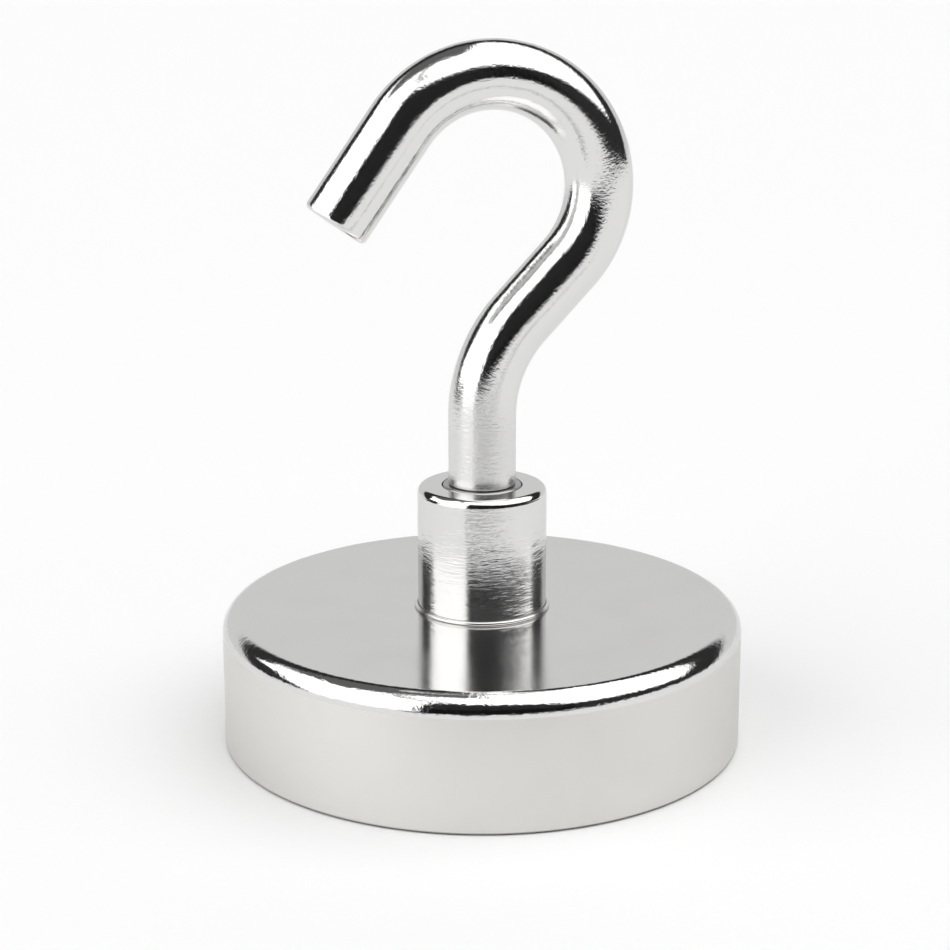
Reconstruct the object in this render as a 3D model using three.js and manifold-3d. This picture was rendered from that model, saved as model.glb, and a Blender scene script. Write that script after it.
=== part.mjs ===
// Pot magnet with a screw-in hook, for lifting steel out of water on a rope.
//
// A steel cup holds a disc magnet, bonded in and sealed round with resin. A threaded boss is
// riveted and brazed to the middle of the cup, and a bent steel hook screws into it. A split ring
// lies in a groove of the hook's shank and closes the mouth of the boss.
//
// Millimetres, +Z up. The origin is the centre of the working face, the hook lies in the XZ plane.

import * as THREE from "three";
import { mergeVertices } from "three/addons/utils/BufferGeometryUtils.js";
import Module from "manifold-3d";

const wasm = await Module();
wasm.setup();

// ---- Driving dimensions -------------------------------------------------------------------

// Steel cup
const CUP_DIAMETER = 60;
const CUP_HEIGHT = 15.5;
const CUP_WALL = 4.2;
const CUP_FLOOR = 5.5;
const CUP_TOP_FILLET = 2.2;
const CUP_FOOT_CHAMFER = 0.5;
const CUP_MOUTH_CHAMFER = 0.3;

// Magnet and what holds it
const BOND_THICKNESS = 0.15;
const MAGNET_RECESS = 0.15;
const MAGNET_CHAMFER = 0.4;
const RESIN_GAP = 1.3;
const RESIN_RECESS = 0.35;

// Threaded boss
const BOSS_DIAMETER = 14.8;
const BOSS_HEIGHT = 14.5;
const BOSS_TOP_FILLET = 0.83;
const SPIGOT_WALL = 1.4;
const SPIGOT_CLEARANCE = 0.05;
const RIVET_FLARE = 1;
const HOLE_WEB = 2;
const DRILL_POINT_SLOPE = 0.6;

// Braze bead round the foot of the boss
const BEAD_HEIGHT = 0.42;
const BEAD_WIDTH = 0.42;

// Hook rod
const ROD_DIAMETER = 7.7;
const SHANK_ABOVE_BOSS = 8.13;
const LOWER_BEND_RADIUS = 15.84;
const LOWER_BEND_TURN = THREE.MathUtils.degToRad(43.8);
const NECK_LENGTH = 8.19;
const UPPER_BEND_RADIUS = 12.6;
const UPPER_BEND_TURN = THREE.MathUtils.degToRad(188.4);
const TIP_LENGTH = 12.95;
const TIP_EDGE_RADIUS = 0.6;
const SHANK_END_GAP = 2.3;
const SHANK_END_CHAMFER = 0.7;

// Right-hand thread that joins the two
const THREAD_PITCH = 1.25;
const THREAD_CREST_TRIM = 0.15;
const THREAD_ALLOWANCE = 0.06;
const THREAD_ROOT_RELIEF = 0.1;

// Split ring in the mouth of the boss
const RING_STAND_OUT = 0.65;
const RING_HEIGHT = 0.7;
const RING_PROUD = 0.1;
const RING_SPLIT = 1.1;
const RING_SIDE_CLEARANCE = 0.12;
const RING_END_CLEARANCE = 0.1;
const RING_GROOVE_CLEARANCE = 0.16;
const RING_ROUNDING = 0.18;
const MOUTH_LEAD_IN = 0.3;
const RELIEF_BELOW_ROOT = 0.03;

// Facets round a circle and steps along a curve
const CUP_FACETS = 64;
const BOSS_FACETS = 48;
const ROD_FACETS = 24;
const FILLET_STEPS = 5;
const BEAD_STEPS = 6;
const LOWER_BEND_STEPS = 6;
const UPPER_BEND_STEPS = 20;
const RING_ROUNDING_STEPS = 1;

// How far a cutter runs past the surface it cuts
const CUTTER_OVERRUN = 1;
const EDGE_OVERRUN = 0.02;

// ---- Sizes worked out from them -----------------------------------------------------------

const cupRadius = CUP_DIAMETER / 2;
const cavityRadius = cupRadius - CUP_WALL;
const cavityDepth = CUP_HEIGHT - CUP_FLOOR;
const magnetRadius = cavityRadius - RESIN_GAP;
const magnetBack = cavityDepth - BOND_THICKNESS;

const bossRadius = BOSS_DIAMETER / 2;
const bossTop = CUP_HEIGHT + BOSS_HEIGHT;

const rodRadius = ROD_DIAMETER / 2;
const threadRadius = rodRadius + THREAD_CREST_TRIM;
const flankSlope = Math.tan(THREE.MathUtils.degToRad(30));
const fullThreadHeight = THREAD_PITCH / (2 * flankSlope);
const shankRootRadius = threadRadius - THREAD_ALLOWANCE - fullThreadHeight * 17 / 24;
const bossCrestRadius = threadRadius - fullThreadHeight * 5 / 8;
const bossRootRadius = threadRadius + THREAD_ROOT_RELIEF;

const spigotRadius = bossRootRadius + SPIGOT_WALL;
const spigotHoleRadius = spigotRadius + SPIGOT_CLEARANCE;
const spigotEnd = cavityDepth + SPIGOT_CLEARANCE;
const rivetReach = RIVET_FLARE - 2 * SPIGOT_CLEARANCE;
const drillTip = spigotEnd + HOLE_WEB;
const drillShoulder = drillTip + bossCrestRadius * DRILL_POINT_SLOPE;
const shankEnd = drillShoulder + SHANK_END_GAP;

const ringTop = bossTop + RING_PROUD;
const ringBottom = ringTop - RING_HEIGHT;
const ringOuterRadius = rodRadius + RING_STAND_OUT;
const reliefRadius = shankRootRadius - RELIEF_BELOW_ROOT;
const ringInnerRadius = reliefRadius + RING_GROOVE_CLEARANCE;
const reliefBottom = ringBottom - RING_END_CLEARANCE;
const reliefTop = ringTop + RING_END_CLEARANCE;
const mouthRadius = ringOuterRadius + RING_SIDE_CLEARANCE;
const mouthFloor = ringBottom - RING_END_CLEARANCE;
const leadInRadius = mouthRadius - MOUTH_LEAD_IN;

// ---- Shape helpers ------------------------------------------------------------------------

const point = (radius, height) => new THREE.Vector2(radius, height);

// Points of a circular arc in the plane of a turned profile.
function arcPoints(centreRadius, centreHeight, radius, startDegrees, endDegrees, steps) {
  const arc = [];
  for (let k = 0; k <= steps; k++) {
    const angle = THREE.MathUtils.degToRad(THREE.MathUtils.lerp(startDegrees, endDegrees, k / steps));
    arc.push(point(centreRadius + radius * Math.cos(angle), centreHeight + radius * Math.sin(angle)));
  }
  return arc;
}

// The rounded outer edge at the top of a turned piece.
function topFillet(outerRadius, top, radius) {
  return arcPoints(outerRadius - radius, top - radius, radius, 0, 90, FILLET_STEPS);
}

// A turned piece: an open profile that starts and ends on the axis, or a closed one off the axis.
function turned(profile, facets) {
  const startsOnAxis = profile[0].x === 0;
  const outline = startsOnAxis ? profile : [...profile, profile[0].clone()];
  const geometry = new THREE.LatheGeometry(outline, facets);
  return geometry.rotateX(Math.PI / 2);
}

// A path that states its own section frames, so that a section keeps its side to the axis.
class FramedPath extends THREE.Curve {
  constructor(frameAt) {
    super();
    this.frameAt = frameAt;
  }

  getPointAt(share) {
    return this.frameAt(share).place;
  }

  computeFrenetFrames(steps) {
    const frames = Array.from({ length: steps + 1 }, (_, k) => this.frameAt(k / steps));
    return {
      tangents: frames.map((frame) => frame.along),
      normals: frames.map((frame) => frame.outward),
      binormals: frames.map((frame) => frame.sideways),
    };
  }
}

function sweep(outline, path, steps) {
  return new THREE.ExtrudeGeometry(new THREE.Shape(outline), { steps, extrudePath: path });
}

function toSolid(geometry) {
  const bare = geometry.index ? geometry.toNonIndexed() : geometry.clone();
  bare.deleteAttribute("normal");
  bare.deleteAttribute("uv");
  const welded = mergeVertices(bare, 1e-5);
  const mesh = new wasm.Mesh({
    numProp: 3,
    vertProperties: new Float32Array(welded.attributes.position.array),
    triVerts: new Uint32Array(welded.index.array),
  });
  mesh.merge();
  return new wasm.Manifold(mesh);
}

function toGeometry(solid) {
  const mesh = solid.getMesh();
  const geometry = new THREE.BufferGeometry();
  geometry.setAttribute("position", new THREE.BufferAttribute(mesh.vertProperties, 3));
  geometry.setIndex(new THREE.BufferAttribute(mesh.triVerts, 1));
  geometry.computeVertexNormals();
  return geometry;
}

// A tooth or groove of the thread: a V section with a flat bottom, swept up the screw line.
// Both threads share one screw line, so the shank's ridge runs in the middle of the boss's groove.
function threadSweep({ innerRadius, outerRadius, widthAt, from, to, turnOffset }) {
  const firstStep = Math.floor(((from - shankEnd) / THREAD_PITCH) * ROD_FACETS);
  const lastStep = Math.ceil(((to - shankEnd) / THREAD_PITCH) * ROD_FACETS);
  const depth = outerRadius - innerRadius;
  const outline = [
    point(0, -widthAt(innerRadius) / 2),
    point(depth, -widthAt(outerRadius) / 2),
    point(depth, widthAt(outerRadius) / 2),
    point(0, widthAt(innerRadius) / 2),
  ];
  const path = new FramedPath((share) => {
    const step = THREE.MathUtils.lerp(firstStep, lastStep, share);
    const turns = step / ROD_FACETS;
    const angle = turns * 2 * Math.PI;
    const outward = new THREE.Vector3(Math.cos(angle), Math.sin(angle), 0);
    const place = outward.clone().multiplyScalar(innerRadius);
    place.z = shankEnd + (turns + turnOffset) * THREAD_PITCH;
    return {
      place,
      outward,
      along: new THREE.Vector3(-outward.y, outward.x, 0),
      sideways: new THREE.Vector3(0, 0, -1),
    };
  });
  return toSolid(sweep(outline, path, lastStep - firstStep));
}

// ---- Pieces -------------------------------------------------------------------------------

function cupGeometry() {
  const profile = [
    point(cavityRadius + CUP_MOUTH_CHAMFER, 0),
    point(cupRadius - CUP_FOOT_CHAMFER, 0),
    point(cupRadius, CUP_FOOT_CHAMFER),
    ...topFillet(cupRadius, CUP_HEIGHT, CUP_TOP_FILLET),
    point(spigotHoleRadius, CUP_HEIGHT),
    point(spigotHoleRadius, cavityDepth + RIVET_FLARE),
    point(spigotHoleRadius + RIVET_FLARE, cavityDepth),
    point(cavityRadius, cavityDepth),
    point(cavityRadius, CUP_MOUTH_CHAMFER),
  ];
  return turned(profile, CUP_FACETS);
}

function magnetGeometry() {
  const profile = [
    point(0, MAGNET_RECESS),
    point(magnetRadius - MAGNET_CHAMFER, MAGNET_RECESS),
    point(magnetRadius, MAGNET_RECESS + MAGNET_CHAMFER),
    point(magnetRadius, magnetBack),
    point(0, magnetBack),
  ];
  return turned(profile, CUP_FACETS);
}

function bondGeometry() {
  const profile = [
    point(0, magnetBack),
    point(magnetRadius, magnetBack),
    point(magnetRadius, cavityDepth),
    point(0, cavityDepth),
  ];
  return turned(profile, CUP_FACETS);
}

function resinGeometry() {
  const profile = [
    point(magnetRadius, RESIN_RECESS + MAGNET_CHAMFER),
    point(cavityRadius, RESIN_RECESS),
    point(cavityRadius, cavityDepth),
    point(magnetRadius, cavityDepth),
  ];
  return turned(profile, CUP_FACETS);
}

function bossGeometry() {
  const body = turned([
    point(0, spigotEnd),
    point(spigotRadius + rivetReach, spigotEnd),
    point(spigotRadius, spigotEnd + rivetReach),
    point(spigotRadius, CUP_HEIGHT),
    point(bossRadius, CUP_HEIGHT),
    ...topFillet(bossRadius, bossTop, BOSS_TOP_FILLET),
    point(0, bossTop),
  ], BOSS_FACETS);
  const leadInBottom = mouthFloor - (leadInRadius - bossCrestRadius);
  const drill = turned([
    point(0, drillTip),
    point(bossCrestRadius, drillShoulder),
    point(bossCrestRadius, leadInBottom),
    point(leadInRadius, mouthFloor),
    point(mouthRadius, mouthFloor),
    point(mouthRadius, bossTop + CUTTER_OVERRUN),
    point(0, bossTop + CUTTER_OVERRUN),
  ], ROD_FACETS);
  const tapTooth = threadSweep({
    innerRadius: bossCrestRadius - THREAD_CREST_TRIM,
    outerRadius: bossRootRadius,
    widthAt: (radius) => THREAD_PITCH / 8 + 2 * (threadRadius + THREAD_ALLOWANCE - radius) * flankSlope,
    from: drillShoulder + THREAD_PITCH,
    to: mouthFloor + THREAD_PITCH,
    turnOffset: 0,
  });
  return toGeometry(toSolid(body).subtract(toSolid(drill)).subtract(tapTooth));
}

function beadGeometry() {
  const rounding = BEAD_HEIGHT / 2;
  const middle = bossRadius + BEAD_WIDTH - rounding;
  const profile = [
    point(bossRadius, CUP_HEIGHT),
    ...arcPoints(middle, CUP_HEIGHT + rounding, rounding, -90, 90, BEAD_STEPS),
    point(bossRadius, CUP_HEIGHT + BEAD_HEIGHT),
  ];
  return turned(profile, BOSS_FACETS);
}

function stopRingGeometry() {
  const inner = ringInnerRadius + RING_ROUNDING;
  const outer = ringOuterRadius - RING_ROUNDING;
  const halfSplit = (RING_SPLIT / 2 + RING_ROUNDING) / outer;
  const splitAt = Math.PI / 2;
  const outline = new THREE.Shape();
  outline.absarc(0, 0, outer, splitAt + halfSplit, splitAt - halfSplit + 2 * Math.PI, false);
  outline.absarc(0, 0, inner, splitAt - halfSplit + 2 * Math.PI, splitAt + halfSplit, true);
  const ring = new THREE.ExtrudeGeometry(outline, {
    depth: RING_HEIGHT - 2 * RING_ROUNDING,
    curveSegments: ROD_FACETS,
    bevelThickness: RING_ROUNDING,
    bevelSize: RING_ROUNDING,
    bevelSegments: RING_ROUNDING_STEPS,
  });
  return ring.translate(0, 0, ringBottom + RING_ROUNDING);
}

// The rod's centreline from the end of the shank to the tip: where it is and how far it leans to +X.
function rodStations() {
  const place = new THREE.Vector3(0, 0, shankEnd);
  let lean = 0;
  const stations = [{ place: place.clone(), lean }];
  const advance = (length, heading) => {
    place.x += length * Math.sin(heading);
    place.z += length * Math.cos(heading);
    stations.push({ place: place.clone(), lean });
  };
  const bend = (radius, turn, steps) => {
    const chord = 2 * radius * Math.sin(Math.abs(turn) / (2 * steps));
    for (let k = 0; k < steps; k++) {
      const heading = lean + turn / (2 * steps);
      lean += turn / steps;
      advance(chord, heading);
    }
  };
  advance(bossTop + SHANK_ABOVE_BOSS - shankEnd, lean);
  bend(LOWER_BEND_RADIUS, LOWER_BEND_TURN, LOWER_BEND_STEPS);
  advance(NECK_LENGTH, lean);
  bend(UPPER_BEND_RADIUS, -UPPER_BEND_TURN, UPPER_BEND_STEPS);
  advance(TIP_LENGTH, lean);
  return stations;
}

function rodSolid(stations) {
  const circle = [];
  for (let k = 0; k < ROD_FACETS; k++) {
    const angle = (k / ROD_FACETS) * 2 * Math.PI;
    circle.push(point(rodRadius * Math.cos(angle), rodRadius * Math.sin(angle)));
  }
  const steps = stations.length - 1;
  const path = new FramedPath((share) => {
    const { place, lean } = stations[Math.round(share * steps)];
    return {
      place,
      along: new THREE.Vector3(Math.sin(lean), 0, Math.cos(lean)),
      outward: new THREE.Vector3(Math.cos(lean), 0, -Math.sin(lean)),
      sideways: new THREE.Vector3(0, 1, 0),
    };
  });
  return toSolid(sweep(circle, path, steps));
}

// Takes the sharp edge off the tip: everything outside a quarter round, turned about the rod.
function tipEdgeCutter(tip) {
  const middle = rodRadius - TIP_EDGE_RADIUS + EDGE_OVERRUN;
  const profile = [
    ...arcPoints(middle, -TIP_EDGE_RADIUS + EDGE_OVERRUN, TIP_EDGE_RADIUS, 0, 90, FILLET_STEPS),
    point(middle, CUTTER_OVERRUN),
    point(rodRadius + CUTTER_OVERRUN, CUTTER_OVERRUN),
    point(rodRadius + CUTTER_OVERRUN, -TIP_EDGE_RADIUS + EDGE_OVERRUN),
  ].reverse();
  const cutter = turned(profile, ROD_FACETS);
  cutter.rotateY(tip.lean);
  return toSolid(cutter.translate(tip.place.x, tip.place.y, tip.place.z));
}

function hookGeometry() {
  const stations = rodStations();
  const outside = rodRadius + CUTTER_OVERRUN;
  const groove = threadSweep({
    innerRadius: shankRootRadius,
    outerRadius: threadRadius,
    widthAt: (radius) => THREAD_PITCH * 7 / 8 - 2 * (threadRadius - THREAD_ALLOWANCE - radius) * flankSlope,
    from: shankEnd - 2 * THREAD_PITCH,
    to: reliefTop - THREAD_PITCH,
    turnOffset: 0.5,
  });
  const endChamfer = turned([
    point(rodRadius - SHANK_END_CHAMFER - CUTTER_OVERRUN, shankEnd - CUTTER_OVERRUN),
    point(outside, shankEnd - CUTTER_OVERRUN),
    point(outside, shankEnd + SHANK_END_CHAMFER + CUTTER_OVERRUN),
  ], ROD_FACETS);
  const relief = turned([
    point(reliefRadius, reliefBottom),
    point(outside, reliefBottom),
    point(outside, reliefTop),
    point(reliefRadius, reliefTop),
  ], ROD_FACETS);
  const hook = rodSolid(stations)
    .subtract(groove)
    .subtract(toSolid(relief))
    .subtract(toSolid(endChamfer))
    .subtract(tipEdgeCutter(stations.at(-1)));
  return toGeometry(hook);
}

// ---- Finishes and assembly ----------------------------------------------------------------

function finish(color, roughness, metalness) {
  return new THREE.MeshStandardMaterial({ color, roughness, metalness });
}

const brightNickel = () => finish(0xc9c7c3, 0.16, 1);

const pieces = [
  ["pot_cup", cupGeometry(), brightNickel()],
  ["magnet_disc", magnetGeometry(), finish(0xa9a8a6, 0.34, 1)],
  ["bond_film", bondGeometry(), finish(0x8a7a55, 0.6, 0)],
  ["resin_ring", resinGeometry(), finish(0x1a1a1b, 0.42, 0)],
  ["threaded_boss", bossGeometry(), brightNickel()],
  ["braze_bead", beadGeometry(), finish(0xd2d0cb, 0.2, 1)],
  ["stop_ring", stopRingGeometry(), finish(0xb9b8b6, 0.26, 1)],
  ["hook", hookGeometry(), brightNickel()],
];

const magnet = new THREE.Group();
for (const [name, geometry, material] of pieces) {
  const mesh = new THREE.Mesh(geometry, material);
  mesh.name = name;
  magnet.add(mesh);
}

export default magnet;
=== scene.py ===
# %% [markdown]
# # A pot magnet with a screw-in hook
#
# The object is small and nearly all bright metal: a nickel-plated steel cup, a turned boss on top of
# it, and a bent hook that screws into the boss. Bright metal has almost no colour of its own. What we
# see on it is the room around it, bent by its shape. So this scene puts its effort in three places:
# smooth true shapes, a fine grain that breaks the reflections up, and a studio worth reflecting.
#
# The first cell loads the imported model. It gives every size and place that is used below.

# %% Load the frame
import math

import bmesh
import bpy
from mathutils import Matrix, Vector


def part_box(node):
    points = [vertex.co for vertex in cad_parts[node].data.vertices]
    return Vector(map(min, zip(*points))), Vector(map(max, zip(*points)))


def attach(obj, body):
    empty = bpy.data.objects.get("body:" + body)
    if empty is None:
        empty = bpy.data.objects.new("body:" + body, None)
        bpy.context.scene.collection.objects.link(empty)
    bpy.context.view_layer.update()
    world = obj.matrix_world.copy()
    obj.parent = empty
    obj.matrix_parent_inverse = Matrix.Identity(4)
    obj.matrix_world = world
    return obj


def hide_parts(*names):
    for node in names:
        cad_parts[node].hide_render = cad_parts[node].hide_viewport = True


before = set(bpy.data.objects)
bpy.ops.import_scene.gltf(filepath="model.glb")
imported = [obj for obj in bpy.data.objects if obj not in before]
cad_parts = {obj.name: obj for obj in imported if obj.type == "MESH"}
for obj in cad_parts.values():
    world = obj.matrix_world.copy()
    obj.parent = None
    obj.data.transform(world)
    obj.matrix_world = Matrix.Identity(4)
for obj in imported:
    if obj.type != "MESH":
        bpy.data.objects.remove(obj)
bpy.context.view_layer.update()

MM = 0.001
TURN = 2 * math.pi

# %% [markdown]
# ## Sizes
#
# Most sizes are read from the model's own pieces, so the fine pieces sit exactly where the plain ones
# do. What a box can't tell, such as the radius of a rounded edge or the wall of the cup, is written
# here in millimetres.

# %% Sizes read from the model
_, cup_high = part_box("pot_cup")
magnet_low, magnet_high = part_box("magnet_disc")
resin_low, resin_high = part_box("resin_ring")
boss_low, boss_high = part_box("threaded_boss")
_, bead_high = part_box("braze_bead")
ring_low, ring_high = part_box("stop_ring")
hook_low, hook_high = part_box("hook")

cup_radius, cup_top = cup_high.x / MM, cup_high.z / MM
magnet_radius, magnet_face, magnet_back = magnet_high.x / MM, magnet_low.z / MM, magnet_high.z / MM
cavity_radius, resin_face, cavity_roof = resin_high.x / MM, resin_low.z / MM, resin_high.z / MM
boss_radius, boss_foot, boss_top = boss_high.x / MM, boss_low.z / MM, boss_high.z / MM
bead_radius, bead_top = bead_high.x / MM, bead_high.z / MM
ring_radius, ring_foot, ring_top = ring_high.x / MM, ring_low.z / MM, ring_high.z / MM
rod_radius, shank_end = hook_high.y / MM, hook_low.z / MM
print(f"cup {2 * cup_radius:.1f} x {cup_top:.1f} mm")
print(f"boss {2 * boss_radius:.1f} mm, rod {2 * rod_radius:.1f} mm")

# %% Sizes that a box can't tell, in millimetres
CUP_EDGE = 2.2
CUP_FOOT_EDGE = 0.5
CUP_MOUTH_EDGE = 0.3
SPIGOT_RADIUS = 5.5
SPIGOT_HOLE = 5.55
RIVET_FLARE = 1.0
BOSS_EDGE = 0.83
THREAD_PITCH = 1.25
RING_BORE = 3.3
MOUTH_RADIUS = 4.62
RING_PLAY = 0.1

# %% [markdown]
# ## Shapes from rings
#
# Every piece here is round somewhere: turned on a lathe, or a round bar bent to shape. Such a piece is
# a row of rings with a skin stretched over them. A turned piece has its rings on one axis, and a bent
# bar has them along a curve. One function that joins rings into a mesh then makes them all. It gives
# clean four-sided faces that run round the piece, which is what a smooth reflection needs.
#
# A profile is a list of (radius, height) points. Where two surfaces meet at a rounded edge, `arc`
# adds the points of the rounding.

# %% Rings and skins
ROUND = 128


def arc(centre, radius, start, end, steps):
    """Points of a rounding in a profile, from one angle in degrees to the other."""
    angles = [math.radians(start + (end - start) * k / steps) for k in range(steps + 1)]
    return [(centre[0] + radius * math.cos(a), centre[1] + radius * math.sin(a)) for a in angles]


def circle(radius, height):
    """One level ring about the upright axis."""
    turns = [TURN * k / ROUND for k in range(ROUND)]
    return [Vector((radius * math.cos(a), radius * math.sin(a), height)) for a in turns]


def lattice(mesh, rows, wrap=True, loop=False):
    """Adds rows of points to a bmesh, with a four-sided face between each pair of neighbours."""
    grid = [[mesh.verts.new(place * MM) for place in row] for row in rows]
    pairs = list(zip(grid, grid[1:] + grid[:1] if loop else grid[1:]))
    for lower, upper in pairs:
        count = len(lower)
        for k in range(count if wrap else count - 1):
            after = (k + 1) % count
            mesh.faces.new((lower[k], lower[after], upper[after], upper[k]))
    return grid


def finish_piece(name, mesh, sharp_degrees=40):
    """Turns a bmesh into an object with smooth faces and crisp edges."""
    bmesh.ops.remove_doubles(mesh, verts=mesh.verts, dist=1e-7)
    bmesh.ops.dissolve_degenerate(mesh, edges=mesh.edges, dist=1e-7)
    bmesh.ops.recalc_face_normals(mesh, faces=mesh.faces)
    data = bpy.data.meshes.new(name)
    mesh.to_mesh(data)
    mesh.free()
    data.shade_smooth()
    data.set_sharp_from_angle(angle=math.radians(sharp_degrees))
    piece = bpy.data.objects.new(name, data)
    bpy.context.scene.collection.objects.link(piece)
    weighting = piece.modifiers.new("flat_faces_lead", "WEIGHTED_NORMAL")
    weighting.keep_sharp = True
    weighting.weight = 100
    print(f"{name}: {len(data.vertices)} points, {len(data.polygons)} faces")
    return piece


def turned(name, profile, closed=True):
    """A turned piece. A closed profile goes round a hole, an open one is capped at both ends."""
    mesh = bmesh.new()
    grid = lattice(mesh, [circle(*point) for point in profile], loop=closed)
    if not closed:
        mesh.faces.new(list(reversed(grid[0])))
        mesh.faces.new(grid[-1])
    return finish_piece(name, mesh)


# %% [markdown]
# ## The cup
#
# The cup is pressed and turned from steel. Its wall, its floor and its rim carry the magnet's field to
# the steel below, so they are thick. The top edge is generously rounded, the foot has just been
# broken with a fine rounding, and a hole in the middle takes the boss. All of it is one closed
# profile, turned once round the axis.

# %% Cup
foot_edge = arc((cup_radius - CUP_FOOT_EDGE, CUP_FOOT_EDGE), CUP_FOOT_EDGE, -90, 0, 8)
top_edge = arc((cup_radius - CUP_EDGE, cup_top - CUP_EDGE), CUP_EDGE, 0, 90, 28)
cup_profile = [
    (cavity_radius + CUP_MOUTH_EDGE, 0),
    *foot_edge,
    *top_edge,
    (SPIGOT_HOLE, cup_top),
    (SPIGOT_HOLE, cavity_roof + RIVET_FLARE),
    (SPIGOT_HOLE + RIVET_FLARE, cavity_roof),
    (cavity_radius, cavity_roof),
    (cavity_radius, CUP_MOUTH_EDGE),
]
cup = turned("cup_shell", cup_profile)
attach(cup, "magnet_base")
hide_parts("pot_cup")

# %% [markdown]
# ## The magnet and the resin round it
#
# Only someone who lifts the cup sees these. The magnet is a pressed and sintered disc with slightly
# rounded edges. The resin was poured in as a liquid, so its face sags between the two walls and climbs
# a little where it wets them. A shallow arc in the profile gives that sag.

# %% Magnet and resin
MAGNET_EDGE = 0.4
RESIN_SAG = 0.22
RESIN_SET_BACK = 0.05
RESIN_STEPS = 12
magnet_profile = [
    *arc((magnet_radius - MAGNET_EDGE, magnet_face + MAGNET_EDGE), MAGNET_EDGE, -90, 0, 8),
    (magnet_radius, magnet_back),
]
magnet = turned("magnet_core", magnet_profile, closed=False)
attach(magnet, "magnet_base")
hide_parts("magnet_disc")

resin_width = cavity_radius - magnet_radius
resin_surface = []
for k in range(RESIN_STEPS + 1):
    across = k / RESIN_STEPS
    sag = RESIN_SAG * 4 * across * (1 - across)
    resin_surface.append((magnet_radius + resin_width * across, resin_face + RESIN_SET_BACK + sag))
resin_back = [(cavity_radius, cavity_roof), (magnet_radius, cavity_roof)]
resin = turned("resin_seal", [*resin_surface, *resin_back])
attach(resin, "magnet_base")
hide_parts("resin_ring")

# %% [markdown]
# ## Screw threads
#
# The thread is cut into the shank and tapped into the boss. It isn't a stack of rings: it climbs one
# pitch a turn. So its rows climb too. Each row starts a little higher than the one below and ends one
# pitch up, where it meets the start of a later row, and the two are welded. The depth at a row follows
# from where it lies between two crests: a flat crest, two flanks at 30 degrees and a flat root.
#
# Where the thread starts and ends its depth fades to nothing, as it does behind a real die or tap.

# %% Thread surface
ROWS_PER_PITCH = 12
FLANK = math.tan(math.radians(30))
SHARP_HEIGHT = THREAD_PITCH / (2 * FLANK)
THREAD_PLAY = 0.06
THREAD_RADIUS = rod_radius + 0.15
SHANK_ROOT = THREAD_RADIUS - THREAD_PLAY - SHARP_HEIGHT * 17 / 24
BOSS_CREST = THREAD_RADIUS - SHARP_HEIGHT * 5 / 8
BOSS_ROOT = THREAD_RADIUS + 0.1


def clamp(value, low, high):
    """The value, held between two limits."""
    return max(low, min(high, value))


def ridge_radius(phase, allowance, lowest, highest):
    """Radius of the screw surface at a share of the pitch from the middle of the shank's ridge."""
    away = abs((phase + 0.5) % 1 - 0.5) * THREAD_PITCH
    radius = THREAD_RADIUS - allowance - (away - THREAD_PITCH / 16) / FLANK
    return clamp(radius, lowest, highest)


def thread_rows(low, high, radius_at):
    """Rows of a screw surface between two heights. radius_at takes a phase and a height."""
    first = math.floor(((low - shank_end) / THREAD_PITCH - 1) * ROWS_PER_PITCH)
    last = math.ceil((high - shank_end) / THREAD_PITCH * ROWS_PER_PITCH)
    rows = []
    for step in range(first, last + 1):
        row = []
        for k in range(ROUND + 1):
            angle = TURN * k / ROUND
            true_height = shank_end + (step / ROWS_PER_PITCH + k / ROUND) * THREAD_PITCH
            height = clamp(true_height, low, high)
            radius = radius_at((height - shank_end) / THREAD_PITCH - k / ROUND, height)
            row.append(Vector((radius * math.cos(angle), radius * math.sin(angle), height)))
        rows.append(row)
    return rows


# %% [markdown]
# ## The boss
#
# The boss is a turned steel bush. Its spigot goes through the cup's floor and is riveted over from
# below. Its blind hole was drilled, tapped and counterbored for the split ring. The outside is a
# profile, the inside is a drill point, a length of thread and the counterbore.

# %% Boss
MOUTH_FLOOR = ring_foot - RING_PLAY
LEAD_IN_RADIUS = MOUTH_RADIUS - 0.3
HOLE_WEB = 2.0
DRILL_SLOPE = 0.6
MOUTH_BREAK = 0.06
DRILL_POINT = 0.02
rivet_reach = RIVET_FLARE - 0.1
drill_tip = boss_foot + HOLE_WEB
drill_shoulder = drill_tip + BOSS_CREST * DRILL_SLOPE
tap_start = drill_shoulder + THREAD_PITCH / 2


def boss_bore_radius(phase, height):
    """Radius of the tapped bore, with its run-out below and its lead-in above."""
    tapped = ridge_radius(phase, -THREAD_PLAY, BOSS_CREST, BOSS_ROOT)
    fade = clamp((height - tap_start) / THREAD_PITCH, 0, 1)
    lead_in = LEAD_IN_RADIUS - (MOUTH_FLOOR - height)
    return max(BOSS_CREST + (tapped - BOSS_CREST) * fade, lead_in)


boss_outside = [
    (SPIGOT_RADIUS + rivet_reach, boss_foot),
    (SPIGOT_RADIUS, boss_foot + rivet_reach),
    (SPIGOT_RADIUS, cup_top),
    (boss_radius, cup_top),
    *arc((boss_radius - BOSS_EDGE, boss_top - BOSS_EDGE), BOSS_EDGE, 0, 90, 16),
    *arc((MOUTH_RADIUS + MOUTH_BREAK, boss_top - MOUTH_BREAK), MOUTH_BREAK, 90, 180, 4),
    (MOUTH_RADIUS, MOUTH_FLOOR),
    (LEAD_IN_RADIUS, MOUTH_FLOOR),
]
mesh = bmesh.new()
outside = lattice(mesh, [circle(*point) for point in boss_outside])
mesh.faces.new(list(reversed(outside[0])))
lattice(mesh, thread_rows(tap_start, MOUTH_FLOOR, boss_bore_radius), wrap=False)
drill_rings = [
    circle(BOSS_CREST, tap_start),
    circle(BOSS_CREST, drill_shoulder),
    circle(DRILL_POINT, drill_tip),
]
drilled = lattice(mesh, drill_rings)
mesh.faces.new(drilled[-1])
boss = finish_piece("boss_bush", mesh, sharp_degrees=35)
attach(boss, "magnet_base")
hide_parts("threaded_boss")

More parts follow.
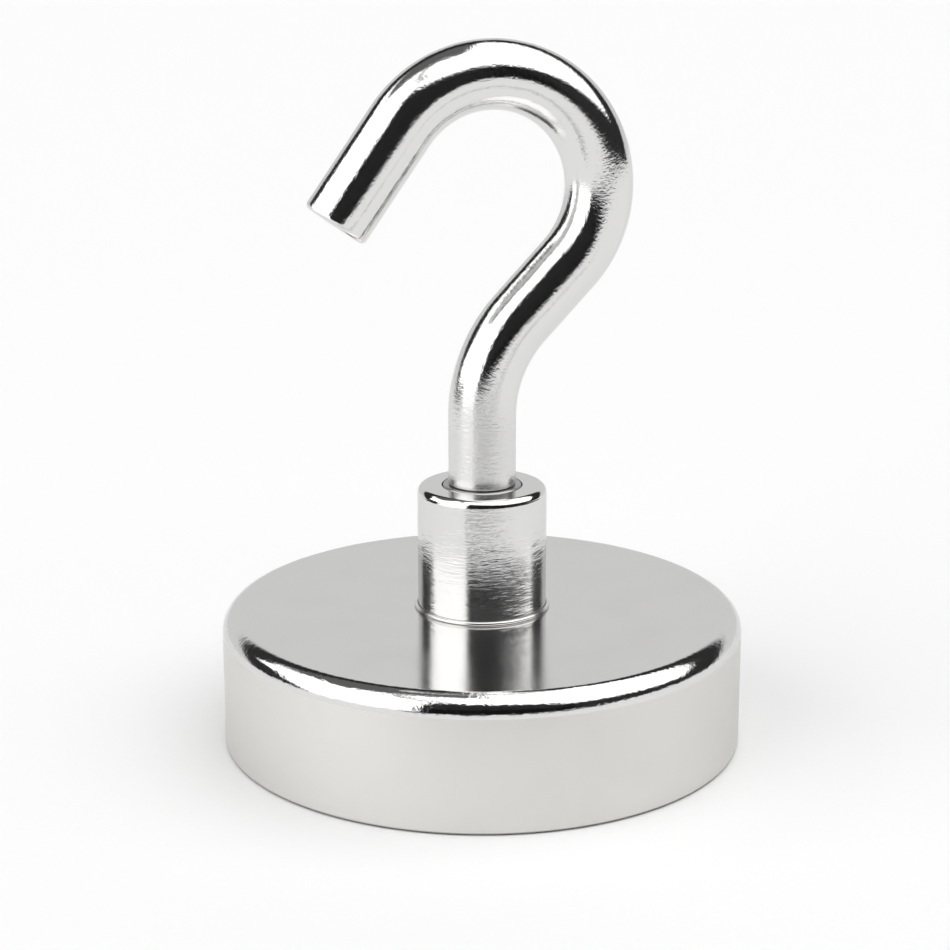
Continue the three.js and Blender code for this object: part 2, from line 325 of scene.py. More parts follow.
# %% [markdown]
# ## The braze bead and the split ring
#
# The bead is the rounded line of metal where the boss was brazed to the cup. Molten metal doesn't set
# as an exact ring, so its width wanders by a few hundredths of a millimetre.
#
# The split ring is a flat spring ring with rounded corners and a narrow gap. It has two ends, so its
# section is carried along an open arc and both ends are capped.

# %% Braze bead
BEAD_SQUEEZE = 0.96
BEAD_STEP = 12
bead_round = (bead_top - cup_top) / 2


def bead_row(angle_degrees):
    """One ring of the bead's rounded skin, with the slight waver of metal that flowed."""
    a = math.radians(angle_degrees)
    row = []
    for k in range(ROUND):
        turn = TURN * k / ROUND
        waver = 1 + 0.035 * math.sin(5 * turn + 0.7) + 0.025 * math.sin(13 * turn + 2.1)
        radius = bead_radius - bead_round + bead_round * waver * math.cos(a) * BEAD_SQUEEZE
        height = cup_top + bead_round + bead_round * math.sin(a)
        row.append(Vector((radius * math.cos(turn), radius * math.sin(turn), height)))
    return row


bead_skin = [bead_row(a) for a in range(-90, 91, BEAD_STEP)]
bead_rows = [circle(boss_radius, cup_top), *bead_skin, circle(boss_radius, bead_top)]
mesh = bmesh.new()
lattice(mesh, bead_rows, loop=True)
bead = finish_piece("braze_line", mesh, sharp_degrees=60)
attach(bead, "magnet_base")
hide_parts("braze_bead")

# %% Split ring
RING_CORNER = 0.2
SPLIT_GAP = 1.1
split_half_angle = SPLIT_GAP / 2 / ring_radius
corners = [
    ((ring_radius - RING_CORNER, ring_foot + RING_CORNER), -90),
    ((ring_radius - RING_CORNER, ring_top - RING_CORNER), 0),
    ((RING_BORE + RING_CORNER, ring_top - RING_CORNER), 90),
    ((RING_BORE + RING_CORNER, ring_foot + RING_CORNER), 180),
]
ring_section = []
for centre, start in corners:
    ring_section += arc(centre, RING_CORNER, start, start + 90, 5)
ring_rows = []
for k in range(ROUND):
    turn = math.pi / 2 + split_half_angle + (TURN - 2 * split_half_angle) * k / (ROUND - 1)
    ring_rows.append([Vector((r * math.cos(turn), r * math.sin(turn), h)) for r, h in ring_section])
mesh = bmesh.new()
grid = lattice(mesh, ring_rows)
mesh.faces.new(list(reversed(grid[0])))
mesh.faces.new(grid[-1])
split_ring = finish_piece("split_ring_wire", mesh)
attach(split_ring, "split_ring")
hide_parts("stop_ring")

# %% [markdown]
# ## The hook
#
# A straight round bar is threaded at one end and then bent cold: once to the side, and then right back
# over in one long bow. So its centreline is only straight lines and arcs, and walking along it gives a
# ring at each station. Its tip was sheared and tumbled, which leaves a small rounded edge.
#
# Each point also remembers where it lay on the straight bar, before bending. The finish reads that
# place, because the grain of drawn bar runs along the bar however it is bent.

# %% Hook centreline
LOWER_BEND = (15.84, 43.8)
NECK = 8.19
UPPER_BEND = (12.6, -188.4)
TIP = 12.95
TIP_EDGE = 0.6
SHANK_ABOVE_BOSS = 8.13
BEND_STEP = 2.0


def walk_bar(start_height, first_length):
    """Stations along the bar's centreline: place, lean from upright and length so far."""
    place, lean, length = Vector((0, 0, start_height)), 0.0, 0.0
    stations = [(place.copy(), lean, length)]

    def straight(distance, pieces):
        nonlocal place, length
        for _ in range(pieces):
            place = place + Vector((math.sin(lean), 0, math.cos(lean))) * (distance / pieces)
            length += distance / pieces
            stations.append((place.copy(), lean, length))

    def bend(radius, degrees):
        nonlocal place, lean, length
        pieces = math.ceil(abs(degrees) / BEND_STEP)
        step = math.radians(degrees) / pieces
        for _ in range(pieces):
            middle = lean + step / 2
            chord = 2 * radius * math.sin(abs(step) / 2)
            place = place + Vector((math.sin(middle), 0, math.cos(middle))) * chord
            lean += step
            length += radius * abs(step)
            stations.append((place.copy(), lean, length))

    straight(first_length, 6)
    bend(*LOWER_BEND)
    straight(NECK, 6)
    bend(*UPPER_BEND)
    straight(TIP - TIP_EDGE, 8)
    return stations


# %% Hook mesh
SHANK_CHAMFER = 0.7
RELIEF_RADIUS = SHANK_ROOT - 0.03
RELIEF_BREAK = 0.12
relief_foot = ring_foot - RING_PLAY
relief_top = ring_top + RING_PLAY


def shank_radius(phase, height):
    """Radius of the threaded shank, with its chamfered end and its run-out under the collar."""
    cut = ridge_radius(phase, THREAD_PLAY, SHANK_ROOT, rod_radius)
    fade = clamp((relief_foot - 0.05 - height) / 0.4, 0, 1)
    chamfer = rod_radius - SHANK_CHAMFER + height - shank_end
    return min(rod_radius + (cut - rod_radius) * fade, chamfer)


def bar_ring(place, lean, radius):
    """A ring square to the bar. Its points go round from +X, as the level rings do."""
    across = Vector((math.cos(lean), 0, -math.sin(lean)))
    turns = [TURN * k / ROUND for k in range(ROUND)]
    return [place + (across * math.cos(a) + Vector((0, 1, 0)) * math.sin(a)) * radius for a in turns]


mesh = bmesh.new()
straight_place = mesh.verts.layers.float_vector.new("straight_bar")
shank = lattice(mesh, thread_rows(shank_end, relief_foot, shank_radius), wrap=False)
bar_start = relief_top + RELIEF_BREAK
relief_edge = arc((rod_radius - RELIEF_BREAK, bar_start), RELIEF_BREAK, -90, 0, 4)
collar_profile = [
    (rod_radius, relief_foot),
    (RELIEF_RADIUS, relief_foot),
    (RELIEF_RADIUS, relief_top),
    *relief_edge,
]
collar = [circle(*point) for point in collar_profile]
stations = walk_bar(bar_start, boss_top + SHANK_ABOVE_BOSS - bar_start)
bar = [bar_ring(place, lean, rod_radius) for place, lean, _ in stations[1:]]
tip_place, tip_lean, bar_length = stations[-1]
tip_heading = Vector((math.sin(tip_lean), 0, math.cos(tip_lean)))
tip_round = arc((rod_radius - TIP_EDGE, 0), TIP_EDGE, 0, 90, 10)[1:]
tip_rings = [bar_ring(tip_place + tip_heading * ahead, tip_lean, radius) for radius, ahead in tip_round]
whole_bar = lattice(mesh, [*collar, *bar, *tip_rings])
mesh.faces.new(whole_bar[-1])
end_face = lattice(mesh, [circle(rod_radius - SHANK_CHAMFER, shank_end)])
mesh.faces.new(list(reversed(end_face[0])))

for row in [*shank, *end_face]:
    for point in row:
        point[straight_place] = point.co / MM
bar_heights = [ring[0].z for ring in collar]
bar_heights += [bar_start + length for _, _, length in stations[1:]]
bar_heights += [bar_start + bar_length + ahead for _, ahead in tip_round]
bar_radii = [ring[0].x for ring in collar]
bar_radii += [rod_radius] * len(bar)
bar_radii += [radius for radius, _ in tip_round]
for row, radius, height in zip(whole_bar, bar_radii, bar_heights):
    for k, point in enumerate(row):
        a = TURN * k / ROUND
        point[straight_place] = Vector((radius * math.cos(a), radius * math.sin(a), height))
hook = finish_piece("hook_bar", mesh, sharp_degrees=35)
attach(hook, "screw_hook")
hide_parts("hook")
hook_top = max(point.co.z for point in hook.data.vertices) / MM
print(f"bar from collar to tip: {bar_length:.1f} mm, top at {hook_top:.2f} mm")

# %% [markdown]
# ## The camera
#
# The camera stands a little above the object and a little to one side. It's far away and its lens is
# long, so the cup's ellipses stay calm and the hook isn't stretched. Its place is worked out from the
# point it aims at, the direction it looks in and its distance.

# %% Camera
CAMERA_TURN = -16.0
CAMERA_RISE = 15.59
CAMERA_DISTANCE = 255.3
CAMERA_LENS = 84.68
AIM_ACROSS = -0.81
AIM_HEIGHT = 31.06
camera_turn, camera_rise = math.radians(CAMERA_TURN), math.radians(CAMERA_RISE)
level_look = Vector((-math.sin(camera_turn), math.cos(camera_turn), 0))
looking = level_look * math.cos(camera_rise) - Vector((0, 0, math.sin(camera_rise)))
level_across = Vector((math.cos(camera_turn), math.sin(camera_turn), 0))
aim = level_across * AIM_ACROSS + Vector((0, 0, AIM_HEIGHT))
camera_data = bpy.data.cameras.new("studio_camera")
camera_data.lens = CAMERA_LENS
camera = bpy.data.objects.new("studio_camera", camera_data)
bpy.context.scene.collection.objects.link(camera)
camera.location = (aim - looking * CAMERA_DISTANCE) * MM
camera.rotation_euler = looking.to_track_quat("-Z", "Y").to_euler()
bpy.context.scene.camera = camera
print("camera in mm:", [round(v / MM, 1) for v in camera.location])

# %% [markdown]
# ## Writing finishes as sums
#
# A finish in Blender is a graph of small nodes. Written out one node at a time it's hard to read, so this
# class wraps a node's output. Adding or multiplying two wrapped outputs adds the Math node that does it,
# so a finish reads as a line of arithmetic. `Bench` holds one node tree and makes every other node with
# one call: what kind, which settings, and what goes into its sockets.

# %% Wire and Bench
class Wire:
    """The output of a node, which can be used in sums."""

    def __init__(self, bench, socket):
        self.bench = bench
        self.socket = socket

    def sum_node(self, operation, first, second):
        return self.bench.node("ShaderNodeMath", {"operation": operation}, {0: first, 1: second})

    def __add__(self, other):
        return self.sum_node("ADD", self, other)

    def __radd__(self, other):
        return self.sum_node("ADD", other, self)

    def __sub__(self, other):
        return self.sum_node("SUBTRACT", self, other)

    def __rsub__(self, other):
        return self.sum_node("SUBTRACT", other, self)

    def __mul__(self, other):
        return self.sum_node("MULTIPLY", self, other)

    def __rmul__(self, other):
        return self.sum_node("MULTIPLY", other, self)


class Bench:
    """One node tree, and the one way that nodes are added to it."""

    def __init__(self, tree):
        self.tree = tree
        tree.nodes.clear()

    def node(self, kind, settings=None, inputs=None, output=0):
        """A new node, with its settings made first and then a value or a link for each socket."""
        made = self.tree.nodes.new(kind)
        for name, value in (settings or {}).items():
            setattr(made, name, value)
        for name, value in (inputs or {}).items():
            if isinstance(value, Wire):
                self.tree.links.new(value.socket, made.inputs[name])
            else:
                made.inputs[name].default_value = value
        return Wire(self, made.outputs[output]) if made.outputs else made

    def ramp_up(self, value, low, high):
        """0 below low, 1 above high, and a smooth climb between."""
        inputs = {"Value": value, "From Min": low, "From Max": high}
        return self.node("ShaderNodeMapRange", {"interpolation_type": "SMOOTHSTEP"}, inputs)

    def between(self, value, low, high, edge):
        """1 between low and high, with soft edges of that width."""
        rising = self.ramp_up(value, low - edge / 2, low + edge / 2)
        falling = self.ramp_up(value, high - edge / 2, high + edge / 2)
        return rising * (1 - falling)

    def blend(self, mask, first, second):
        """A colour that is first where the mask is 0 and second where it is 1."""
        inputs = {0: mask, 6: first, 7: second}
        return self.node("ShaderNodeMix", {"data_type": "RGBA"}, inputs, output=2)

    def stretch(self, place, scale):
        """A place multiplied by three numbers, one for each direction."""
        return self.node("ShaderNodeVectorMath", {"operation": "MULTIPLY"}, {0: place, 1: scale})

    def noise(self, place, scale, detail=3.0, roughness=0.55):
        """Soft random values about 0.5. Scale counts the features in one unit of the place."""
        inputs = {"Vector": place, "Scale": scale, "Detail": detail, "Roughness": roughness}
        return self.node("ShaderNodeTexNoise", None, inputs)

    def place_in_mm(self):
        """Where a point of the piece is, in millimetres. It moves with the piece."""
        place = self.node("ShaderNodeTexCoord", None, None, output="Object")
        return self.stretch(place, (1 / MM, 1 / MM, 1 / MM))

    def split(self, place):
        """The x, y and z of a place as three wires."""
        parted = self.node("ShaderNodeSeparateXYZ", None, {0: place})
        sockets = parted.socket.node.outputs
        return [Wire(self, sockets[name]) for name in "XYZ"]

    def bump(self, height_in_mm):
        """A normal that follows a height in millimetres."""
        inputs = {"Height": height_in_mm, "Distance": MM, "Strength": 1.0}
        return self.node("ShaderNodeBump", None, inputs, output="Normal")


def finish_of(name, slot_objects):
    """A new material on these pieces, and the bench to build it on."""
    material = bpy.data.materials.new(name)
    material.use_nodes = True
    for piece in slot_objects:
        piece.data.materials.clear()
        piece.data.materials.append(material)
    print(f"{name}: on {', '.join(piece.name for piece in slot_objects)}")
    return Bench(material.node_tree)


def metal(bench, colour, roughness, normal, edge_tint):
    """Bare metal: all of its colour is in its reflection. Seen edge-on it takes the edge tint."""
    inputs = {"Base Color": colour, "Roughness": roughness, "Normal": normal}
    inputs.update({"Metallic": 1.0, "Specular Tint": edge_tint})
    surface = bench.node("ShaderNodeBsdfPrincipled", None, inputs)
    bench.node("ShaderNodeOutputMaterial", None, {"Surface": surface})


# %% [markdown]
# ## Nickel on the cup
#
# Bright nickel is a thin mirror over turned steel. It isn't perfect: the lathe and the brush leave lines
# that run round the piece, and plating leaves a fine grain. They are from about a thousandth to a few
# hundredths of a millimetre high. We see them where a dark reflection meets a bright one, as a ragged
# edge, and on the wall, where they spread reflections into a soft satin. So they are bump, in real
# millimetres, and not colour. The colour holds a thin painted contact shadow round the foot of the wall,
# and a painted warm reflection tint on the wall.
#
# Lines that run round a turned piece come from noise that is squeezed along the axis on a wall, and
# noise of the radius alone on a face. A mask of the height and radius picks the one that fits.

# %% Nickel colours
NICKEL = (0.738, 0.734, 0.727, 1)
# A warmer nickel for the cup's wall: a painted warm reflection tint, not a different metal.
PAINTED_WALL_REFLECTION_TINT = (0.745, 0.732, 0.71, 1)
# Duller nickel: random dull patches on the cup, and painted shade inside the boss and on the hidden
# thread.
DULL_NICKEL_AND_SHADE = (0.66, 0.65, 0.635, 1)
NICKEL_EDGE = (0.86, 0.86, 0.86, 1)
# Colour of the painted contact shadow round the foot of the cup's wall.
PAINTED_FOOT_SHADOW = (0.16, 0.16, 0.15, 1)


def radius_of(bench, x, y):
    """Distance from the upright axis."""
    return bench.node("ShaderNodeMath", {"operation": "SQRT"}, {0: x * x + y * y})


def ring_lines(bench, radius, height, lines_per_mm):
    """Noise that changes with the radius or height only, so its features are rings round the axis."""
    place = bench.node("ShaderNodeCombineXYZ", None, {0: radius, 1: height})
    return bench.noise(place, lines_per_mm, detail=2.0)


# %% Cup finish
CUP_GRAIN = 0.002
CUP_RIPPLE = 0.022
CUP_LINES = 0.006
CUP_FACE_LINES = 0.0008
bench = finish_of("turned_nickel_cup", [cup])
place = bench.place_in_mm()
x, y, z = bench.split(place)
radius = radius_of(bench, x, y)
edge_foot = cup_top - CUP_EDGE
edge_start = cup_radius - CUP_EDGE
outermost = bench.ramp_up(radius, cup_radius - 0.6, cup_radius - 0.5)
on_wall = outermost * (1 - bench.ramp_up(z, edge_foot - 0.35, edge_foot + 0.05))
on_edge = bench.ramp_up(radius, edge_start - 0.2, edge_start + 0.6) * (1 - on_wall)
grain = bench.noise(place, 3.5, detail=3.0)
edge_ripple = bench.noise(bench.stretch(place, (0.7, 0.7, 1.3)), 2.6, detail=2.5)
wall_lines = bench.noise(bench.stretch(place, (0.12, 0.12, 1)), 4.0, detail=2.0)
face_lines = ring_lines(bench, radius, 0, 3.0)
height = CUP_GRAIN * grain + CUP_RIPPLE * edge_ripple * on_edge
height = height + CUP_LINES * wall_lines * on_wall
height = height + CUP_FACE_LINES * face_lines * (1 - on_wall)
cloud = bench.noise(place, 0.12, detail=3.0)
# A thin dark ring of colour round the foot of the wall is a painted contact shadow where the cup meets
# the floor.
at_foot = 1 - bench.ramp_up(z, 0.12, 0.42)
painted_foot_shadow_mask = at_foot * bench.ramp_up(radius, cup_radius - 0.5, cup_radius - 0.3)
# The wall is coloured warmer than the faces, as a painted tint of what the wall reflects.
colour = bench.blend(on_wall, NICKEL, PAINTED_WALL_REFLECTION_TINT)
colour = bench.blend(bench.ramp_up(cloud, 0.45, 0.75) * 0.15, colour, DULL_NICKEL_AND_SHADE)
colour = bench.blend(painted_foot_shadow_mask * 0.8, colour, PAINTED_FOOT_SHADOW)
roughness = 0.13 + 0.04 * bench.ramp_up(cloud, 0.3, 0.7) + 0.26 * on_wall - 0.06 * on_edge
metal(bench, colour, roughness, bench.bump(height), NICKEL_EDGE)

# %% [markdown]
# ## Nickel on the boss, and the bead of braze
#
# The boss was turned at a coarser feed than the cup, so its wall shows level lines, longer than they are
# high. The bead was liquid metal: it is smoother than the turned parts, but it flowed unevenly, so its
# bumps are rounder. Its colour is painted darker in the corner where it meets the boss: painted shade.
# Inside its mouth the boss is painted darker too, as painted shade in the hole.

# %% Boss finish
BOSS_GRAIN = 0.0018
BOSS_FEED_LINES = 0.034
BOSS_SLOW_LINES = 0.03
BOSS_RIPPLE = 0.005
BOSS_FACE_LINES = 0.0015
bench = finish_of("turned_nickel_boss", [boss])
place = bench.place_in_mm()
x, y, z = bench.split(place)
radius = radius_of(bench, x, y)
edge_foot = boss_top - BOSS_EDGE
outermost = bench.ramp_up(radius, boss_radius - 0.3, boss_radius - 0.2)
outer_wall = outermost * (1 - bench.ramp_up(z, edge_foot - 0.05, edge_foot + 0.15))
on_edge = bench.ramp_up(radius, boss_radius - BOSS_EDGE, boss_radius - 0.5) * (1 - outer_wall)
grain = bench.noise(place, 3.6, detail=3.0)
feed_lines = bench.noise(bench.stretch(place, (0.16, 0.16, 1)), 3.4, detail=2.0, roughness=0.6)
slow_lines = bench.noise(bench.stretch(place, (0.2, 0.2, 1)), 1.1, detail=1.0)
edge_ripple = bench.noise(bench.stretch(place, (1, 1, 2)), 1.6, detail=3.0)
face_lines = ring_lines(bench, radius, 0, 4.0)
turning_lines = BOSS_FEED_LINES * feed_lines + BOSS_SLOW_LINES * slow_lines
height = BOSS_GRAIN * grain + turning_lines * outer_wall
height = height + BOSS_RIPPLE * edge_ripple * on_edge
height = height + BOSS_FACE_LINES * face_lines * (1 - outer_wall)
# Inside the mouth the boss's colour is painted darker: painted shade in the hole.
inside = 1 - bench.ramp_up(radius, MOUTH_RADIUS - 0.1, MOUTH_RADIUS + 0.1)
colour = bench.blend(inside * 0.6, NICKEL, DULL_NICKEL_AND_SHADE)
roughness = 0.13 + 0.03 * outer_wall - 0.06 * on_edge + 0.05 * inside
metal(bench, colour, roughness, bench.bump(height), NICKEL_EDGE)

# %% Bead finish
BRAZE = (0.76, 0.75, 0.73, 1)
PAINTED_CORNER_SHADE = (0.10, 0.10, 0.09, 1)
bench = finish_of("flowed_braze", [bead])
place = bench.place_in_mm()
x, y, _ = bench.split(place)
radius = radius_of(bench, x, y)
ripples = bench.noise(place, 1.1, detail=2.0)
grain = bench.noise(place, 5.0, detail=3.0)
# Where the bead meets the boss its colour is painted dark: painted shade in that corner.
corner = 1 - bench.ramp_up(radius, boss_radius + 0.02, boss_radius + 0.16)
colour = bench.blend(corner * 0.8, BRAZE, PAINTED_CORNER_SHADE)
roughness = 0.16 + 0.10 * grain + 0.2 * corner
metal(bench, colour, roughness, bench.bump(0.02 * ripples + 0.002 * grain), NICKEL_EDGE)

# %% [markdown]
# ## Nickel on the hook
#
# Drawn bar carries fine lines along its length. Bending stretches and squeezes it, which leaves ripples
# across the bar, and the shank was polished on a wheel, which leaves a satin of fine lines round it. All
# are noise read at the place on the straight bar. It's drawn out along the bar for the drawing lines
# and round it for the ripples. The ripples are strong in the bends and fade on the straight end.

# %% Hook finish
DRAW_LINES = 0.010
HOOK_GRAIN = 0.015
BEND_RIPPLES = 0.013
SHANK_LINES = 0.030
bench = finish_of("drawn_nickel_bar", [hook])
place = bench.node("ShaderNodeAttribute", {"attribute_name": "straight_bar"}, None, output="Vector")
_, _, along = bench.split(place)
tip_length = bar_start + bar_length
draw_lines = bench.noise(bench.stretch(place, (1, 1, 0.3)), 3.0, detail=2.0)
ripples = bench.noise(bench.stretch(place, (0.5, 0.5, 1.6)), 2.2, detail=2.5, roughness=0.6)
grain = bench.noise(place, 3.6, detail=2.0)
straight_end = bench.ramp_up(along, tip_length - 26, tip_length - 12)
shank_satin = 1 - bench.ramp_up(along, boss_top + 5.0, boss_top + 17.0)
threads = 1 - bench.ramp_up(along, MOUTH_FLOOR - 1.0, MOUTH_FLOOR + 0.5)
height = DRAW_LINES * draw_lines + HOOK_GRAIN * grain
height = height + BEND_RIPPLES * ripples * (1 - 0.6 * straight_end)
height = height + SHANK_LINES * ripples * shank_satin
# The threaded end, which sits inside the boss, is painted darker: painted shade inside the hole.
colour = bench.blend(threads * 0.7, NICKEL, DULL_NICKEL_AND_SHADE)
roughness = 0.09 + 0.20 * shank_satin + 0.05 * threads
metal(bench, colour, roughness, bench.bump(height), NICKEL_EDGE)

# %% [markdown]
# ## The smaller finishes
#
# The split ring is plain spring steel, darker than nickel and finely brushed round. The magnet is plated
# too, but with a soft pearly look from its pressed grain, and it shows rub marks where steel has slid on
# it. The resin is black, glossy in patches and specked with tiny bubbles. The adhesive
# film between magnet and cup is hidden, but it has its own look: a cloudy amber.

# %% Ring and magnet
bench = finish_of("spring_steel_ring", [split_ring])
place = bench.place_in_mm()
x, y, z = bench.split(place)
brushed = ring_lines(bench, radius_of(bench, x, y), z, 9.0)
colour = bench.blend(brushed, (0.42, 0.42, 0.42, 1), (0.58, 0.58, 0.57, 1))
metal(bench, colour, 0.26 + 0.12 * brushed, bench.bump(0.004 * brushed), (0.8, 0.8, 0.8, 1))

bench = finish_of("plated_magnet", [magnet])
place = bench.place_in_mm()
pressed = bench.noise(place, 2.2, detail=5.0)
rub = bench.noise(bench.stretch(place, (0.08, 1.6, 1)), 1.0, detail=4.0)
rubbed = bench.ramp_up(rub, 0.56, 0.72)
colour = bench.blend(rubbed * 0.6, (0.60, 0.585, 0.56, 1), (0.42, 0.41, 0.40, 1))
roughness = 0.26 + 0.14 * pressed + 0.12 * rubbed
metal(bench, colour, roughness, bench.bump(0.006 * pressed + 0.004 * rub), (0.8, 0.8, 0.8, 1))

# %% Resin and adhesive
bench = finish_of("black_sealing_resin", [resin])
place = bench.place_in_mm()
bubbles = bench.node("ShaderNodeTexVoronoi", None, {"Vector": place, "Scale": 1.3})
pit = 1 - bench.ramp_up(bubbles, 0.05, 0.16)
flow = bench.noise(place, 0.35, detail=3.0)
colour = bench.blend(flow, (0.014, 0.014, 0.016, 1), (0.03, 0.03, 0.032, 1))
inputs = {"Base Color": colour, "Roughness": 0.22 + 0.25 * flow + 0.3 * pit}
inputs["Normal"] = bench.bump(0.03 * flow - 0.04 * pit)
surface = bench.node("ShaderNodeBsdfPrincipled", None, inputs)
bench.node("ShaderNodeOutputMaterial", None, {"Surface": surface})

bench = finish_of("amber_adhesive", [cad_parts["bond_film"]])
place = bench.place_in_mm()
clouds = bench.noise(place, 0.5, detail=4.0)
colour = bench.blend(clouds, (0.36, 0.29, 0.15, 1), (0.50, 0.42, 0.27, 1))
inputs = {"Base Color": colour, "Roughness": 0.45 + 0.2 * clouds, "Normal": bench.bump(0.01 * clouds)}
surface = bench.node("ShaderNodeBsdfPrincipled", None, inputs)
bench.node("ShaderNodeOutputMaterial", None, {"Surface": surface})

# %% [markdown]
# ## The studio
#
# Bright metal shows its surroundings, so a plain even sky would make it look like plastic. In a real
# studio, large white sheets are put round a small metal thing, and the dark room shows in the gaps
# between them. The sheets give the broad white bands, and the gaps give the dark lines that draw the
# shape.
#
# The object stands on a sheet of white card. The card ends some way off in front and on the left, so
# what lies beyond its edge shows low down in the hook. The camera is a dark thing close by, and two
# black flags stand for it: a large one behind, and a low one that darkens the cup's front edge. A
# narrow white strip on the left brightens the hook's neck. Only reflections see these three.

# %% Directions of the studio
toward_camera = Vector((math.sin(math.radians(CAMERA_TURN)), -math.cos(math.radians(CAMERA_TURN)), 0))
to_the_left = Vector((0, 0, 1)).cross(toward_camera) * -1


def studio_sheet(name, places):
    """A flat four-sided sheet of the studio. A place is (toward the camera, leftward, up) in mm."""
    mesh = bmesh.new()
    corners = []
    for ahead, left, up in places:
        point = toward_camera * ahead + to_the_left * left + Vector((0, 0, up))
        corners.append(mesh.verts.new(point * MM))
    mesh.faces.new(corners)
    data = bpy.data.meshes.new(name)
    mesh.to_mesh(data)
    mesh.free()
    sheet = bpy.data.objects.new(name, data)
    bpy.context.scene.collection.objects.link(sheet)
    return sheet


# %% Floor card
CARD_FRONT = 500
CARD_LEFT = 380
CARD_FAR = 6000
floor_places = [
    (CARD_FRONT, CARD_LEFT, 0),
    (-CARD_FAR, CARD_LEFT, 0),
    (-CARD_FAR, -CARD_FAR, 0),
    (CARD_FRONT, -CARD_FAR, 0),
]
floor = studio_sheet("floor_card", floor_places)
bench = finish_of("white_card", [floor])
fibres = bench.noise(bench.place_in_mm(), 1.5, detail=2.0)
colour = bench.blend(fibres, (0.855, 0.855, 0.855, 1), (0.875, 0.875, 0.875, 1))
inputs = {"Base Color": colour, "Roughness": 0.9, "Specular IOR Level": 0.1}
surface = bench.node("ShaderNodeBsdfPrincipled", None, inputs)
bench.node("ShaderNodeOutputMaterial", None, {"Surface": surface})

# %% Black flags
FLAG_AHEAD = 155
FLAG_LEFT = 72
FLAG_RIGHT = -100
FLAG_FOOT = 60
FLAG_TOP_LEFT = 200
FLAG_TOP_RIGHT = 144
flag_places = [
    (FLAG_AHEAD, FLAG_LEFT, FLAG_FOOT),
    (FLAG_AHEAD, FLAG_RIGHT, FLAG_FOOT),
    (FLAG_AHEAD, FLAG_RIGHT, FLAG_TOP_RIGHT),
    (FLAG_AHEAD, FLAG_LEFT, FLAG_TOP_LEFT),
]
flag = studio_sheet("camera_flag", flag_places)

LOW_FLAG_AHEAD = 82
LOW_FLAG_LEFT = 44
LOW_FLAG_RIGHT = -105
LOW_FLAG_FOOT_LEFT = 6
LOW_FLAG_FOOT_RIGHT = 10
LOW_FLAG_TOP = 12.2
low_flag_places = [
    (LOW_FLAG_AHEAD, LOW_FLAG_LEFT, LOW_FLAG_FOOT_LEFT),
    (LOW_FLAG_AHEAD, LOW_FLAG_RIGHT, LOW_FLAG_FOOT_RIGHT),
    (LOW_FLAG_AHEAD, LOW_FLAG_RIGHT, LOW_FLAG_TOP),
    (LOW_FLAG_AHEAD, LOW_FLAG_LEFT, LOW_FLAG_TOP),
]
low_flag = studio_sheet("low_flag", low_flag_places)
FLAG_BLACK = (0.01, 0.01, 0.01, 1)
bench = finish_of("black_flag", [flag, low_flag])
inputs = {"Base Color": FLAG_BLACK, "Roughness": 1.0}
surface = bench.node("ShaderNodeBsdfPrincipled", None, inputs)
bench.node("ShaderNodeOutputMaterial", None, {"Surface": surface})

# %% White strip
STRIP_LEFT = 86
STRIP_FRONT = 130
STRIP_BACK = -20
STRIP_FOOT = 45
STRIP_TOP = 112
STRIP_GLOW = 2.0
strip_places = [
    (STRIP_FRONT, STRIP_LEFT, STRIP_FOOT),
    (STRIP_BACK, STRIP_LEFT, STRIP_FOOT),
    (STRIP_BACK, STRIP_LEFT, STRIP_TOP),
    (STRIP_FRONT, STRIP_LEFT, STRIP_TOP),
]
strip = studio_sheet("white_strip", strip_places)
bench = finish_of("glowing_strip", [strip])
inputs = {"Color": (1, 1, 1, 1), "Strength": STRIP_GLOW}
surface = bench.node("ShaderNodeEmission", None, inputs)
bench.node("ShaderNodeOutputMaterial", None, {"Surface": surface})
for sheet in (flag, low_flag, strip):
    sheet.visible_camera = False
    sheet.visible_diffuse = False
    sheet.visible_shadow = False

# %% [markdown]
# ## The room round the object
#
# Everything farther off is painted on the world by direction. `turn` is in degrees from the camera's
# side, positive to the left, and `rise` is in degrees above the horizon. A white tent covers most of the
# room. Its foot curves down from high at the back to low at the sides, because a level edge of a far
# wall looks like that from the middle. Below the foot the dark room shows, and below that a pale panel
# stands behind the object. The ceiling is dark at the back left, and a dark seam runs up from the
# front left. Each `paint` lays one of them over what is there already.
#
# Only reflections and light come from this. The camera itself sees plain white past the end of the card.

# %% World
WHITE_TENT = 1.88
BACK_PANEL = 0.82
DARK_ROOM = 0.03
CAMERA_SIDE = 0.008
SEAM = 0.50
CEILING = 0.14
BACKGROUND = 0.97
world = bpy.data.worlds.new("studio_room")
world.use_nodes = True
bpy.context.scene.world = world
bench = Bench(world.node_tree)
heading = bench.node("ShaderNodeTexCoord", None, None, output="Generated")
x, y, z = bench.split(heading)
ahead = x * toward_camera.x + y * toward_camera.y
left = x * to_the_left.x + y * to_the_left.y
rise = bench.node("ShaderNodeMath", {"operation": "ARCSINE"}, {0: z}) * (360 / TURN)
turn = bench.node("ShaderNodeMath", {"operation": "ARCTAN2"}, {0: left, 1: ahead}) * (360 / TURN)


def paint(light, mask, value):
    """The light so far, with a value painted over it where the mask says."""
    return light + mask * (value - light)


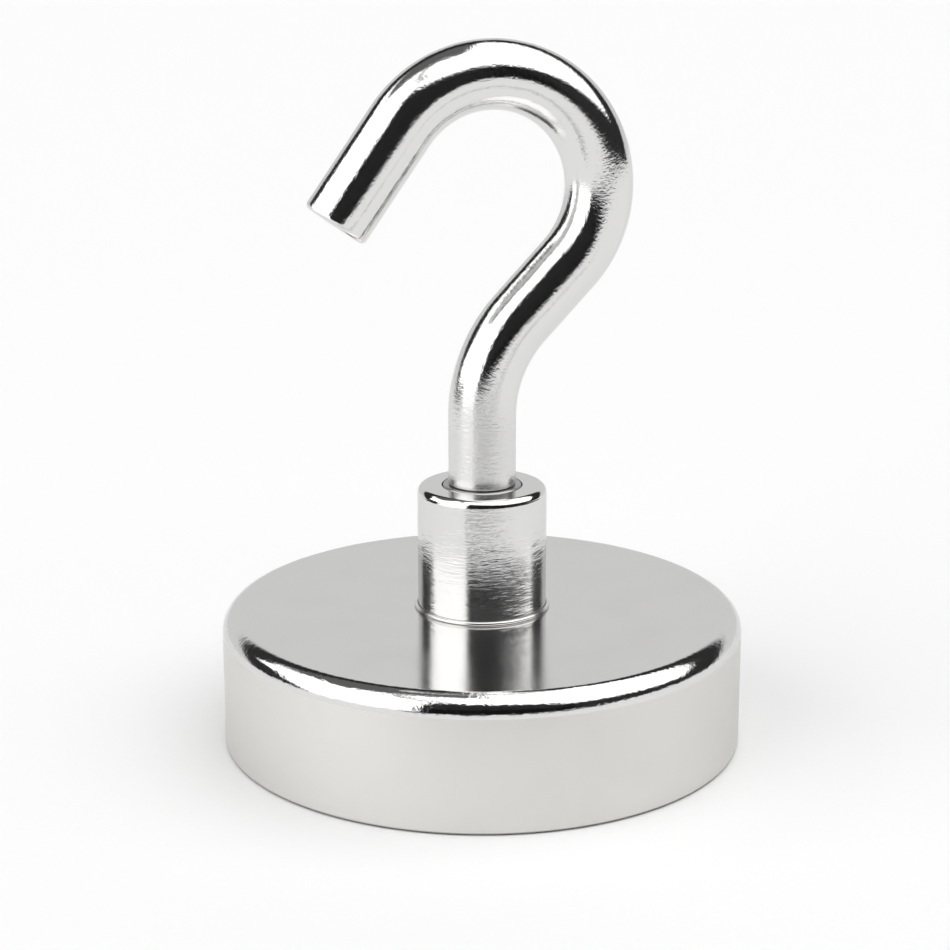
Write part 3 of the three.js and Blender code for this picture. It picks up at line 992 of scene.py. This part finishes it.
def under(value, limit, edge):
    """1 below a limit and 0 above it, with a soft edge of that width."""
    return 1 - bench.ramp_up(value, limit - edge / 2, limit + edge / 2)


# %% Light of the room
TENT_FOOT_DROP, TENT_FOOT_HEIGHT = 0.9, 0.20
BACK_EDGE_DROP, BACK_EDGE_HEIGHT = 1.3, -0.58
SEAM_SLOPE, SEAM_LOW, SEAM_HIGH = 0.214, 49, 54
FRONT_SLOPE, FRONT_TURN, FRONT_RISE = 0.25, 100, 16
FRONT_RIGHT, FRONT_LEFT = -112, 27
CAMERA_RIGHT, CAMERA_TOP = -40, 26
tent_foot = z + TENT_FOOT_DROP * ahead
back_edge = z + BACK_EDGE_DROP * ahead
seam_height = rise - SEAM_SLOPE * turn
seam = bench.between(seam_height, SEAM_LOW, SEAM_HIGH, 2) * bench.between(turn, 20, 130, 8)
front_edge = rise - FRONT_RISE - (turn + FRONT_TURN) * FRONT_SLOPE
front_gap = bench.between(turn, FRONT_RIGHT, FRONT_LEFT, 5) * under(front_edge, 0, 4)
camera_side = bench.between(turn, CAMERA_RIGHT, FRONT_LEFT, 8) * under(rise, CAMERA_TOP, 5)
dark_ceiling = bench.ramp_up(turn, 86, 100) * bench.ramp_up(rise, 38, 46)
light = paint(WHITE_TENT, dark_ceiling, CEILING)
light = paint(light, under(tent_foot, TENT_FOOT_HEIGHT, 0.05), DARK_ROOM)
light = paint(light, under(back_edge, BACK_EDGE_HEIGHT, 0.16), BACK_PANEL)
light = paint(light, seam, SEAM)
light = paint(light, front_gap, DARK_ROOM)
light = paint(light, camera_side, CAMERA_SIDE)
seen_directly = bench.node("ShaderNodeLightPath", None, None, output="Is Camera Ray")
light = paint(light, seen_directly, BACKGROUND)
grey = bench.node("ShaderNodeCombineColor", None, {0: light, 1: light, 2: light})
surface = bench.node("ShaderNodeBackground", None, {"Color": grey})
bench.node("ShaderNodeOutputWorld", None, {"Surface": surface})
bpy.context.scene.view_settings.view_transform = "Standard"
print(f"studio_room: {len(world.node_tree.nodes)} nodes")
